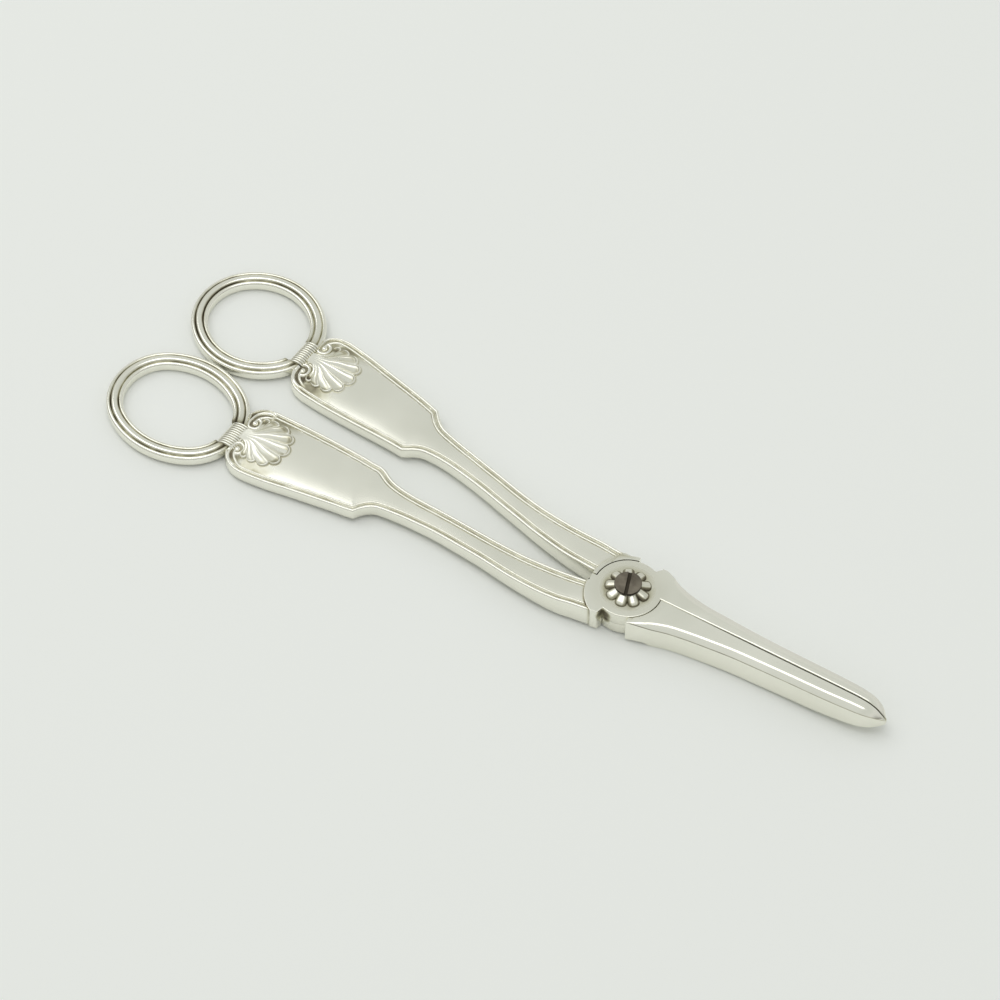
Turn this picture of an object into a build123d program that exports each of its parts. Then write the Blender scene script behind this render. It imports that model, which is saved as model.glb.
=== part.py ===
from build123d import *
import math
import os

os.makedirs("parts", exist_ok=True)

# Grape shears, in millimetres. The origin is on the pivot axis, at the underside of the laps.
# X runs along the bisector of the two handles towards the nose of the jaws, and Z is up.
# The front half carries the upper lap and the jaw on the +Y side, and its handle is at -Y.
# The rear half carries the lower lap, the pivot screw and the rosette, and its handle is at +Y.

# Pivot and laps
lap_thickness = 2.85
lap_radius = 6.95
lap_gap = 0.05
ring_gap = 0.15
ring_width = 1.0
abutment_gap = 0.12
overrun = 20.0

# Jaws, in a frame turned about the pivot axis by the skew of the cutting seam
seam_skew_deg = 3.8
seam_offset = 0.92
seam_gap = 0.12
jaw_reach = 57.7
jaw_breadth = 7.75
ledge_width = 0.8
ledge_share = 0.87
facet_width = 1.38
facet_drop = 0.72
keel_drop = 0.6
keel_chamfer = 0.25
nose_drop = 3.45

# Handles, the same breadths on both halves, each on its own centre line
handle_reach = 88.0
fiddle_breadth = 16.9
handle_spread = 12.0
handle_thickness = 2.8
root_thickness = 5.5
field_relief = 0.35
thread_breadth = 0.7
thread_groove = 0.45
inner_thread_breadth = 0.5
inner_thread_drop = 0.1
lean_start_share = 0.5
lean_full_share = 0.62

# Scrolls at the shell end of the threads
scroll_radius = 1.8
scroll_eye_radius = 0.7
scroll_groove = 0.4
scroll_rise = 0.05
scroll_spacing = 7.25
scroll_inset = 1.9

# Shells laid on both fields
shell_reach = 10.7
shell_root_inset = 0.75
shell_relief = 0.75
shell_rim_radius = 1.65
shell_root_radius = 0.35
shell_gap = 0.1
shell_lobe_degs = [-66, -52, -35, -16, 0, 16, 35, 52, 66]
shell_lobe_shares = [0.56, 0.68, 0.84, 0.955, 1.0, 0.955, 0.84, 0.68, 0.56]
shell_rim_shares = [0.6, 0.75, 0.9, 1.0, 1.0, 1.0, 0.9, 0.75, 0.6]

# Finger bows, oval rings of three reeds
bow_half_breadth = 11.5
front_bow_half_length = 13.65
rear_bow_half_length = 12.8
bow_end_radius_share = 0.92
reed_band_width = 3.44
reed_band_height = 2.8
bow_gap = 0.2

# Bindings between the bows and the handles
binding_length = 6.2
binding_core_radius = 1.55
binding_ribs = 11

# Pivot screw and rosette
screw_radius = 1.6
screw_clearance = 0.05
screw_head_radius = 2.7
screw_head_height = 0.75
screw_slot_width = 0.75
screw_slot_depth = 0.5
screw_slot_deg = 113.6
rosette_radius = 4.75
rosette_height = 1.2
rosette_hub_radius = 2.85
rosette_petals = 9
rosette_petal_radius = 1.35
rosette_turn_deg = 1.5

# Levels
full_height = 2 * lap_thickness
middle = lap_thickness
front_lap_floor = middle + lap_gap / 2
rear_lap_roof = middle - lap_gap / 2
clear_radius = lap_radius + ring_gap
ring_radius = lap_radius + ring_width

# Jaw stations: place along the seam, front breadth, rear breadth, facet, roof drop, keel drop
jaw_shares = [
    (0.0646, 1.0, 0.955, 0.02, 0.0, 0.0),
    (0.122, 0.884, 0.832, 0.6, 0.0, 0.05),
    (0.15, 0.794, 0.772, 0.9, 0.0, 1.0),
    (0.209, 0.671, 0.652, 1.0, 0.0, 1.0),
    (0.279, 0.577, 0.57, 1.0, 0.0, 1.0),
    (0.349, 0.535, 0.51, 1.0, 0.0, 1.0),
    (0.454, 0.474, 0.439, 1.0, 0.0, 1.0),
    (0.558, 0.435, 0.408, 1.0, 0.0, 0.95),
    (0.663, 0.426, 0.382, 1.0, 0.0, 0.85),
    (0.768, 0.425, 0.363, 1.0, 0.0, 0.5),
    (0.873, 0.418, 0.317, 1.0, 0.02, -0.2),
    (0.925, 0.394, 0.268, 0.9, 0.1, -0.7),
    (0.953, 0.361, 0.194, 0.7, 0.27, -1.0),
    (0.979, 0.297, 0.065, 0.4, 0.6, -1.3),
    (1.0, 0.148, -0.09, 0.1, 1.0, -1.5),
]

# Handle stations from the root to the scrolls: reach, breadth, front centre, rear centre
handle_shares = [
    (0.014, 0.382, -0.413, 0.3135),
    (0.05, 0.395, -0.458, 0.303),
    (0.092, 0.411, -0.5125, 0.292),
    (0.1136, 0.418, -0.5475, 0.296),
    (0.1625, 0.408, -0.592, 0.3025),
    (0.2545, 0.364, -0.6235, 0.354),
    (0.3466, 0.328, -0.611, 0.455),
    (0.4386, 0.325, -0.606, 0.5835),
    (0.5295, 0.344, -0.6335, 0.69),
    (0.575, 0.38, -0.652, 0.73),
    (0.6065, 0.435, -0.656, 0.7495),
    (0.618, 0.479, -0.656, 0.757),
    (0.6293, 0.55, -0.663, 0.764),
    (0.6406, 0.645, -0.686, 0.771),
    (0.652, 0.748, -0.73, 0.785),
    (0.709, 0.812, -0.776, 0.8325),
    (0.8, 0.905, -0.855, 0.879),
    (0.891, 0.985, -0.9475, 0.932),
    (0.936, 1.0, -0.983, 0.958),
    (0.959, 0.9645, -0.994, 0.9675),
    (0.977, 0.876, -0.996, 0.9765),
    (0.99, 0.742, -0.993, 0.99),
    (1.0, 0.544, -0.9875, 1.0),
]
shoulder = 14

# Side view of a handle: reach and the share of the root's extra thickness
thickening_shares = [
    (0.68, 0.0),
    (0.57, 0.04),
    (0.455, 0.11),
    (0.34, 0.22),
    (0.25, 0.37),
    (0.18, 0.59),
    (0.135, 0.81),
    (0.09, 0.96),
    (0.0, 1.0),
]

# Section of the bow, as shares of its half width and half height
reed_groove_share = 0.49
reed_groove_height_share = 0.61
side_reed_share = 0.86
side_reed_height_share = 0.76
flank_height_share = 0.35

# Leans of the fiddles, turns of the shells, and places of the bindings as shares of the spread
front_lean = -0.13
rear_lean = 0.03
front_shell_turn_deg = 4.5
rear_shell_turn_deg = -1.0
front_binding_share = -1.1
rear_binding_share = 1.01

# Seats of the handles on the pivot blocks
front_seat_centre = (-0.14, -1.49)
front_seat_radius = 7.8
rear_seat_centre = (3.63, -0.34)
rear_seat_radius = 11.5

# Ends of the pivot blocks, as directions from the pivot axis
rear_block_end_deg = 104.9
abutment_deg = 185.6
front_block_end_deg = 257.4


class Half:
    """One half of the shears: its side, the columns of its tables and the places of its bow."""

    def __init__(self, name, side, column, seat, end):
        self.name = name
        self.side = side
        self.centres = [row[column + 1] for row in handle_shares]
        self.breadths = [row[column] for row in jaw_shares]
        self.seat_centre, self.seat_radius = seat
        self.lean, self.shell_turn_deg, binding_share, self.bow_half_length = end
        self.shell_y = self.centres[-1] * handle_spread
        self.binding_y = binding_share * handle_spread
        self.bow_y = side * (bow_half_breadth + reed_band_width / 2 + bow_gap / 2)
        self.binding_seat_x = -handle_reach + scroll_inset / 2
        self.binding_x = self.binding_seat_x - binding_core_radius
        self.bow_x = self.binding_x - self.bow_half_length


front_seat = (front_seat_centre, front_seat_radius)
rear_seat = (rear_seat_centre, rear_seat_radius)
front_end = (front_lean, front_shell_turn_deg, front_binding_share, front_bow_half_length)
rear_end = (rear_lean, rear_shell_turn_deg, rear_binding_share, rear_bow_half_length)
front = Half("front", -1, 1, front_seat, front_end)
rear = Half("rear", 1, 2, rear_seat, rear_end)


def side_points(half, side, inset):
    """Points of one long edge of a handle, moved inwards by the inset."""
    points = []
    for (reach, breadth, *_), centre in zip(handle_shares, half.centres):
        y_offset = side * breadth * fiddle_breadth / 2
        ramp = (reach - lean_start_share) / (lean_full_share - lean_start_share)
        lean = half.lean * min(1, max(0, ramp))
        points.append(Vector(-reach * handle_reach + lean * y_offset, centre * handle_spread + y_offset))
    moved = []
    for i, point in enumerate(points):
        before = points[max(i - 1, 0)]
        after = points[min(i + 1, len(points) - 1)]
        along = (after - before).normalized()
        inwards = Vector(along.Y, -along.X) * -side
        if inwards.Y * side > 0:
            inwards = inwards * -1
        moved.append(point + inwards * inset)
    return moved


def handle_outline(half, inset):
    """Closed outline of a handle in plan, inside the current line builder."""
    upper = side_points(half, 1, inset)
    lower = side_points(half, -1, inset)
    Spline(upper[: shoulder + 1])
    Spline(upper[shoulder:])
    Line(upper[-1], lower[-1])
    Spline(lower[shoulder:])
    Spline(lower[: shoulder + 1])
    Line(lower[0], upper[0])


def side_profile(lowering):
    """Side view of a handle, thicker towards the pivot, inside the current line builder."""
    step = (root_thickness - handle_thickness) / 2
    half_thickness = handle_thickness / 2 - lowering
    curve = [(-reach * handle_reach, half_thickness + share * step) for reach, share in thickening_shares]
    flat_end = (-handle_reach - overrun, half_thickness)
    top = [(x, middle + z) for x, z in curve]
    bottom = [(x, middle - z) for x, z in curve]
    Line((flat_end[0], middle + flat_end[1]), top[0])
    Spline(top, tangents=[(1, 0), (1, 0)])
    Line(top[-1], bottom[-1])
    Spline(bottom, tangents=[(1, 0), (1, 0)])
    Line(bottom[0], (flat_end[0], middle - flat_end[1]))
    Line((flat_end[0], middle - flat_end[1]), (flat_end[0], middle + flat_end[1]))


def profile_face(lowering):
    """Face of the side profile, which the handle's solids are trimmed to."""
    with BuildSketch(Plane.XZ) as profile:
        with BuildLine():
            side_profile(lowering)
        make_face()
    return profile.sketch


def handle_band(half, outer_inset, inner_inset, lowering):
    """A thread that follows the whole outline, between two insets."""
    with BuildPart() as band:
        with BuildSketch():
            with BuildLine():
                handle_outline(half, outer_inset)
            make_face()
        extrude(amount=full_height)
        with BuildSketch():
            with BuildLine():
                handle_outline(half, inner_inset)
            make_face()
        extrude(amount=full_height, mode=Mode.SUBTRACT)
        extrude(profile_face(lowering), amount=2 * fiddle_breadth, both=True, mode=Mode.INTERSECT)
    return band.part


def scroll_centres(half):
    """Centres of the two scrolls of a handle, in the middle plane."""
    x = -handle_reach + scroll_inset
    offsets = (-scroll_spacing / 2, scroll_spacing / 2)
    return [Vector(x + half.lean * offset, half.shell_y + offset, middle) for offset in offsets]


def add_scrolls(half):
    """Two scrolls on both faces, each with a groove round its eye, in the current part."""
    height = handle_thickness + 2 * scroll_rise
    for centre in scroll_centres(half):
        with Locations(centre):
            Cylinder(scroll_radius, height)
        for face in (-1, 1):
            top = centre + Vector(0, 0, face * height / 2)
            with Locations(top):
                Cylinder(scroll_eye_radius + scroll_groove, 2 * field_relief, mode=Mode.SUBTRACT)
            with Locations(top - Vector(0, 0, face * field_relief / 2)):
                Cylinder(scroll_eye_radius, field_relief)


def make_handle(half):
    """Fiddle handle with a double thread and two scrolls, struck alike on both faces."""
    first_groove = thread_breadth + thread_groove
    outer_thread = handle_band(half, 0, thread_breadth, 0)
    inner_thread = handle_band(half, first_groove, first_groove + inner_thread_breadth, inner_thread_drop)
    end_radius = bow_end_radius_share * bow_half_breadth
    bow_end = (half.binding_x - end_radius, half.bow_y, middle)
    with BuildPart() as handle:
        with BuildSketch():
            with BuildLine():
                handle_outline(half, 0)
            make_face()
        extrude(amount=full_height)
        extrude(profile_face(field_relief), amount=2 * fiddle_breadth, both=True, mode=Mode.INTERSECT)
        add(outer_thread)
        add(inner_thread)
        add_scrolls(half)
        outwards = (Align.MAX, Align.CENTER, Align.CENTER)
        with Locations((half.binding_seat_x, half.binding_y, middle)):
            Box(overrun, binding_length + ring_gap, full_height, align=outwards, mode=Mode.SUBTRACT)
        with Locations(bow_end):
            Cylinder(end_radius + reed_band_width / 2 + ring_gap, full_height, mode=Mode.SUBTRACT)
        with Locations((*half.seat_centre, middle)):
            Cylinder(half.seat_radius, 2 * full_height, mode=Mode.SUBTRACT)
    return handle.part


def make_shell(half, face):
    """Scallop of tapering lobes that fans out from the binding, flat where it lies on the field."""
    root_x = half.binding_seat_x + shell_root_inset
    ground = middle + handle_thickness / 2 - field_relief
    root = Vector(root_x, half.shell_y, ground + shell_relief / 2 - shell_root_radius)
    border = thread_breadth + thread_groove + inner_thread_breadth + shell_gap
    with BuildPart() as shell:
        for lobe_deg, reach_share, rim_share in zip(shell_lobe_degs, shell_lobe_shares, shell_rim_shares):
            angle = math.radians(lobe_deg + half.shell_turn_deg)
            rim = shell_rim_radius * rim_share
            along = shell_reach * reach_share - rim
            rim_centre = Vector(
                root_x + along * math.cos(angle),
                half.shell_y + along * math.sin(angle),
                ground + shell_relief - rim,
            )
            run = rim_centre - root
            with Locations(Plane(origin=root, z_dir=run)):
                Cone(shell_root_radius, rim, run.length, align=(Align.CENTER, Align.CENTER, Align.MIN))
            with Locations(rim_centre):
                Sphere(rim)
        with BuildSketch(Plane.XY.offset(ground)):
            with BuildLine():
                handle_outline(half, border)
            make_face()
            for centre in scroll_centres(half):
                with Locations((centre.X, centre.Y)):
                    Circle(scroll_radius + shell_gap, mode=Mode.SUBTRACT)
        extrude(amount=full_height, mode=Mode.INTERSECT)
        if face < 0:
            mirror(about=Plane.XY.offset(middle), mode=Mode.REPLACE)
    return shell.part


def reed_section():
    """Section of a bow: a broad reed between two rounded shoulders, inside the current line builder."""
    half_width = reed_band_width / 2
    half_height = reed_band_height / 2
    groove = (reed_groove_share * half_width, reed_groove_height_share * half_height)
    crest = (side_reed_share * half_width, side_reed_height_share * half_height)
    flank = (half_width, flank_height_share * half_height)
    for up in (1, -1):
        ThreePointArc((flank[0], up * flank[1]), (crest[0], up * crest[1]), (groove[0], up * groove[1]))
        ThreePointArc((groove[0], up * groove[1]), (0, up * half_height), (-groove[0], up * groove[1]))
        ThreePointArc((-groove[0], up * groove[1]), (-crest[0], up * crest[1]), (-flank[0], up * flank[1]))
    for side in (1, -1):
        Line((side * flank[0], flank[1]), (side * flank[0], -flank[1]))


def make_bow(half):
    """Oval finger bow of four tangent arcs, open where the binding closes it."""
    long_half = half.bow_half_length
    end_radius = bow_end_radius_share * bow_half_breadth
    side_radius = (long_half**2 + bow_half_breadth**2 - 2 * long_half * end_radius) / (
        2 * (bow_half_breadth - end_radius)
    )
    end_shift = long_half - end_radius
    side_shift = side_radius - bow_half_breadth
    joint_deg = math.degrees(math.atan2(side_shift, end_shift))
    arcs = [
        (end_shift, 0, end_radius, -joint_deg, 2 * joint_deg),
        (0, -side_shift, side_radius, joint_deg, 180 - 2 * joint_deg),
        (-end_shift, 0, end_radius, 180 - joint_deg, 2 * joint_deg),
        (0, side_shift, side_radius, 180 + joint_deg, 180 - 2 * joint_deg),
    ]
    with BuildPart() as bow:
        for shift_x, shift_y, radius, start_deg, sweep_deg in arcs:
            start = math.radians(start_deg)
            outwards = Vector(math.cos(start), math.sin(start), 0)
            centre = Vector(half.bow_x + shift_x, half.bow_y + shift_y, middle)
            forwards = Vector(-outwards.Y, outwards.X, 0)
            with BuildSketch(Plane(origin=centre + outwards * radius, x_dir=outwards, z_dir=forwards * -1)):
                with BuildLine():
                    reed_section()
                make_face()
            revolve(axis=Axis(centre, (0, 0, 1)), revolution_arc=sweep_deg)
        with Locations((half.bow_x + long_half, half.binding_y, middle)):
            Box(long_half, binding_length, full_height, mode=Mode.SUBTRACT)
    return bow.part


def make_binding(half):
    """Collar of rounded ribs that holds the two ends of the bow to the neck of the handle."""
    pitch = binding_length / binding_ribs
    with BuildPart() as binding:
        with BuildSketch(Plane.XY.offset(middle)):
            with Locations((half.binding_x + binding_core_radius / 2, half.binding_y)):
                Rectangle(binding_core_radius, binding_length)
            first = half.binding_y - binding_length / 2 + pitch / 2
            for i in range(binding_ribs):
                with Locations((half.binding_x + binding_core_radius, first + i * pitch)):
                    Circle(pitch / 2)
        revolve(axis=Axis((half.binding_x, 0, middle), (0, 1, 0)), revolution_arc=360)
        with Locations((half.binding_seat_x, half.binding_y, middle)):
            Box(overrun, overrun, overrun, align=(Align.MIN, Align.CENTER, Align.CENTER), mode=Mode.SUBTRACT)
    return binding.part


def jaw_section(seam_v, outer_v, facet, drop, roof, keel, chamfer):
    """Section of a blade across the seam, inside the current line builder."""
    inwards = math.copysign(1, seam_v - outer_v)
    points = [
        (seam_v, roof),
        (outer_v + inwards * facet, roof),
        (outer_v, roof - drop),
        (outer_v, keel + chamfer),
        (outer_v + inwards * chamfer, keel),
        (seam_v, keel),
    ]
    Polyline(points, close=True)


def blade(half, seam_v):
    """Straight-ruled loft of a blade through its stations along the seam."""
    seam_frame = Plane.XY.rotated((0, 0, seam_skew_deg))
    across = seam_frame.y_dir
    along = seam_frame.x_dir
    with BuildPart() as solid:
        for (place, _, _, facet_share, roof_share, keel_share), breadth in zip(jaw_shares, half.breadths):
            outer_v = -half.side * breadth * jaw_breadth
            room = abs(outer_v - seam_v)
            roof = full_height - roof_share * nose_drop
            keel = -keel_share * keel_drop
            facet = min(facet_share * facet_width, room / 2)
            drop = min(facet_share * facet_drop, (roof - keel) / 3)
            chamfer = min(keel_chamfer, room / 3, (roof - keel) / 3)
            with BuildSketch(Plane(origin=along * (place * jaw_reach), x_dir=across, z_dir=along)):
                with BuildLine():
                    jaw_section(seam_v, outer_v, facet, drop, roof, keel, chamfer)
                make_face()
        loft(ruled=True)
    return solid.part


def pivot_block(half, start_deg, end_deg):
    """Shoulder of full height round the other half's lap, which the handle is seated on."""
    middle_deg = (start_deg + end_deg) / 2
    far = 2 * overrun
    corners = [(0, 0)]
    for angle in (start_deg, middle_deg, end_deg):
        corners.append((far * math.cos(math.radians(angle)), far * math.sin(math.radians(angle))))
    with BuildPart() as block:
        with BuildSketch():
            with BuildLine():
                handle_outline(half, 0)
            make_face()
            Circle(ring_radius)
            with Locations(half.seat_centre):
                Circle(half.seat_radius, mode=Mode.INTERSECT)
            with BuildLine():
                Polyline(corners, close=True)
            make_face(mode=Mode.INTERSECT)
        extrude(amount=full_height)
    return block.part


def ledge_zone(extra, low, high):
    """Strip beside the seam where one blade passes over the other."""
    seam_frame = Plane.XY.rotated((0, 0, seam_skew_deg))
    start_v = seam_offset - seam_gap / 2
    reach = ledge_share * jaw_reach
    with BuildPart() as zone:
        with BuildSketch(seam_frame.offset(low)):
            with BuildLine():
                corners = [(0, start_v), (reach + extra, start_v)]
                corners.append((reach + extra, seam_offset + ledge_width + extra))
                corners.append((0, seam_offset + ledge_width + extra))
                Polyline(corners, close=True)
            make_face()
        extrude(amount=high - low)
    return zone.part


def make_front_jaw():
    """Upper lap, pivot block and the jaw with the cutting lip, in one piece."""
    gap_deg = math.degrees(abutment_gap / ring_radius)
    block = pivot_block(front, abutment_deg + gap_deg / 2, front_block_end_deg)
    jaw = blade(front, seam_offset + seam_gap / 2)
    with BuildPart() as part:
        add(block)
        add(jaw)
        with Locations((0, 0, front_lap_floor)):
            Cylinder(clear_radius, overrun, align=(Align.CENTER, Align.CENTER, Align.MAX), mode=Mode.SUBTRACT)
        with Locations((0, 0, front_lap_floor)):
            Cylinder(lap_radius, full_height - front_lap_floor, align=(Align.CENTER, Align.CENTER, Align.MIN))
        add(ledge_zone(seam_gap, -full_height, front_lap_floor), mode=Mode.SUBTRACT)
        Cylinder(screw_radius + screw_clearance, 2 * overrun, mode=Mode.SUBTRACT)
    return part.part


def make_rear_jaw():
    """Lower lap, pivot block and the jaw with the ledge under the lip, in one piece."""
    gap_deg = math.degrees(abutment_gap / ring_radius)
    block = pivot_block(rear, rear_block_end_deg, abutment_deg - gap_deg / 2)
    jaw = blade(rear, seam_offset - seam_gap / 2)
    wide_jaw = blade(front, seam_offset - seam_gap / 2)
    with BuildPart() as ledge:
        add(wide_jaw)
        add(ledge_zone(0, -full_height, rear_lap_roof), mode=Mode.INTERSECT)
    with BuildPart() as part:
        add(block)
        add(jaw)
        with Locations((0, 0, rear_lap_roof)):
            Cylinder(clear_radius, overrun, align=(Align.CENTER, Align.CENTER, Align.MIN), mode=Mode.SUBTRACT)
        add(ledge.part)
        Cylinder(lap_radius, rear_lap_roof, align=(Align.CENTER, Align.CENTER, Align.MIN))
        Cylinder(screw_radius, 2 * overrun, mode=Mode.SUBTRACT)
    return part.part


def make_rosette():
    """Washer of domed petals under the screw's head, clear of the front lap."""
    floor = full_height + lap_gap
    with BuildPart() as rosette:
        with Locations((0, 0, floor)):
            Cylinder(rosette_hub_radius, rosette_height, align=(Align.CENTER, Align.CENTER, Align.MIN))
        petal_reach = rosette_radius - rosette_petal_radius
        lift = rosette_height - rosette_petal_radius
        with PolarLocations(petal_reach, rosette_petals, start_angle=rosette_turn_deg):
            with Locations((0, 0, floor + lift)):
                Sphere(rosette_petal_radius)
            with Locations(Location((0, 0, floor + lift), (0, -90, 0))):
                Cone(rosette_petal_radius, rosette_petal_radius / 2, petal_reach,
                     align=(Align.CENTER, Align.CENTER, Align.MIN))
        with Locations((0, 0, floor)):
            Box(overrun, overrun, overrun, align=(Align.CENTER, Align.CENTER, Align.MAX), mode=Mode.SUBTRACT)
        with Locations((0, 0, floor + rosette_height)):
            Cylinder(screw_head_radius, overrun, align=(Align.CENTER, Align.CENTER, Align.MIN),
                     mode=Mode.SUBTRACT)
        Cylinder(screw_radius, 2 * overrun, mode=Mode.SUBTRACT)
    return rosette.part


def make_screw():
    """Cheese-headed pivot screw that is threaded into the rear lap."""
    head_floor = full_height + lap_gap + rosette_height
    head_top = head_floor + screw_head_height
    with BuildPart() as screw:
        Cylinder(screw_radius, head_floor, align=(Align.CENTER, Align.CENTER, Align.MIN))
        with Locations((0, 0, head_floor)):
            Cylinder(screw_head_radius, screw_head_height, align=(Align.CENTER, Align.CENTER, Align.MIN))
        with Locations(Location((0, 0, head_top), (0, 0, screw_slot_deg))):
            Box(overrun, screw_slot_width, 2 * screw_slot_depth, mode=Mode.SUBTRACT)
    return screw.part


def write(part, name):
    """Labels a piece and writes it as its own file."""
    part.label = name
    export_step(part, f"parts/{name}.step")


for arm in (front, rear):
    write(make_handle(arm), f"{arm.name}_handle")
    write(make_bow(arm), f"{arm.name}_bow")
    write(make_binding(arm), f"{arm.name}_binding")
    write(make_shell(arm, 1), f"{arm.name}_upper_shell")
    write(make_shell(arm, -1), f"{arm.name}_lower_shell")

write(make_front_jaw(), "front_jaw")
write(make_rear_jaw(), "rear_jaw")
write(make_rosette(), "pivot_rosette")
write(make_screw(), "pivot_screw")
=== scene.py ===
import math
from types import SimpleNamespace

import bpy
import numpy as np
from mathutils import Matrix, Vector


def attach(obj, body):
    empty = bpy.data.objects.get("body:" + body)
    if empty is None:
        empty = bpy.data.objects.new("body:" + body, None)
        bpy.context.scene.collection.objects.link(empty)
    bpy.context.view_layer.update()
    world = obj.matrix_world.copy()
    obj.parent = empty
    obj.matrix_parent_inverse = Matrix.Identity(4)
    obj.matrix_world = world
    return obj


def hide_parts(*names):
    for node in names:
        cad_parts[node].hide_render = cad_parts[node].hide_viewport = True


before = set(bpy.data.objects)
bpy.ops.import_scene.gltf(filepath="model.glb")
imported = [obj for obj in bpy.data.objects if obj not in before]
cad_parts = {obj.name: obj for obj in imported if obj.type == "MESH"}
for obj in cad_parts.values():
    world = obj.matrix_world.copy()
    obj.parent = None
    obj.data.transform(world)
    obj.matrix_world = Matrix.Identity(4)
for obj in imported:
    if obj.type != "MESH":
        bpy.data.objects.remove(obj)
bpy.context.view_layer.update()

# All shapes are worked out in millimetres in the frame of the CAD model and written in metres.
MM = 0.001

# Pivot, laps and blocks
lap_thickness = 2.85
lap_radius = 6.95
lap_gap = 0.05
ring_gap = 0.15
ring_width = 1.0
abutment_gap = 0.24
full_height = 2 * lap_thickness
middle = lap_thickness
ring_radius = lap_radius + ring_width
clear_radius = lap_radius + ring_gap
abutment_half_gap_deg = math.degrees(abutment_gap / ring_radius) / 2
edge_round = 0.22
lower_edge_round = 0.12
touching_round = 0.02
block_round = 0.1
block_inner_radius = 5.5
block_outer_radius = 13
rear_block_start_deg = 104.9
abutment_deg = 185.6
front_block_end_deg = 257.4
bevel_drop = 0.08
bevel_width = 0.13
overrun = 20

# Jaws
seam_skew_deg = 3.8
seam_offset = 0.92
seam_gap = 0.12
seam_half_gap = 0.03
seam_half_widening = 0.12
jaw_reach = 57.7
jaw_breadth = 7.75
facet_width = 1.38
ledge_width = 0.8
ledge_share = 0.87
keel_drop = 0.6
nose_drop = 3.45
lip_round = 0.3
cutting_edge_round = 0.06
corner_rounds = (0.32, 0.16, 0.2, 0.1)
corner_steps = 7

# Web that fills the notch between the lap and the heel of the front blade
heel_web = np.array([
    (0.9, 6.6), (0.9, 4.0), (6.6, 4.0), (6.6, 7.3), (4.55, 8.0), (3.72, 8.08), (3.17, 7.68), (2.68, 7.13),
    (2.35, 6.62),
])
web_round = 0.05

# Handles
handle_reach = 88.0
fiddle_breadth = 16.9
handle_spread = 12.0
handle_thickness = 2.8
root_thickness = 5.2
root_share = 0.014
seat_overlap = 0.05
lean_start_share = 0.5
lean_full_share = 0.62
field_relief = 0.33
crown_rise = 0.31
crown_breadth = 6.3
wall_round = 0.36
outer_crest = 0.36
thread_breadth = 0.7
thread_groove = 0.45
inner_thread_breadth = 0.5
inner_thread_drop = 0.06
groove_depth = 0.36
across_count = 170

# Scrolls and shells
scroll_spacing = 7.25
scroll_inset = 1.9
scroll_squash = 1.4
scroll_ridge_radius = 0.4
scroll_inner_radius = 0.34
scroll_eye_radius = 0.64
scroll_drop = 0.02
scroll_depth = groove_depth + 0.1
shell_root_inset = 0.75
shell_relief = 0.75
shell_foot = 0.2
throat_half_breadth = 1.25
shell_lip_round = 0.34
shell_sink = 0.05
lobe_columns = 48

# Bows, bindings, rosette and screw
bow_end_radius_share = 0.92
band_half_width = 1.72
band_half_height = 1.4
band_clearance = 0.04
reed_groove = 0.8
reed_fall = 0.45
side_reed_radius = 0.5
side_reed_height = 0.62
binding_length = 6.2
binding_core_radius = 1.55
binding_ribs = 11
binding_slant = 0.24
rosette_radius = 4.75
rosette_inner_radius = 1.7
rosette_height = 1.25
rosette_petals = 9
rosette_turn_deg = 1.5
petal_half_width = 1.2
petal_end_start = 3.9
petal_fall = 0.31
screw_radius = 1.6
screw_head_radius = 2.76
screw_head_height = 0.68
screw_head_chamfer = 0.1
screw_head_round = 0.16
screw_head_dome = 0.05
screw_slot_width = 0.75
screw_slot_depth = 0.45
screw_slot_deg = 113.6
rosette_floor = full_height + lap_gap
head_floor = rosette_floor + rosette_height
head_top = head_floor + screw_head_height

# Jaw stations: place along the seam, front breadth, rear breadth, facet, roof drop, keel drop
jaw_shares = np.array([
    (0.0646, 1.0, 0.955, 0.02, 0.0, 0.0),
    (0.122, 0.884, 0.832, 0.6, 0.0, 0.05),
    (0.15, 0.794, 0.772, 0.9, 0.0, 1.0),
    (0.209, 0.671, 0.652, 1.0, 0.0, 1.0),
    (0.279, 0.59, 0.57, 1.0, 0.0, 1.0),
    (0.349, 0.56, 0.51, 1.0, 0.0, 1.0),
    (0.454, 0.515, 0.439, 1.0, 0.0, 1.0),
    (0.558, 0.488, 0.408, 1.0, 0.0, 0.95),
    (0.663, 0.476, 0.382, 1.0, 0.0, 0.85),
    (0.768, 0.467, 0.363, 1.0, 0.0, 0.5),
    (0.873, 0.448, 0.317, 1.0, 0.02, -0.2),
    (0.925, 0.414, 0.268, 0.9, 0.1, -0.7),
    (0.953, 0.374, 0.194, 0.7, 0.27, -1.0),
    (0.979, 0.297, 0.065, 0.4, 0.6, -1.3),
    (1.0, 0.148, -0.09, 0.1, 1.0, -1.5),
])

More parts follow.
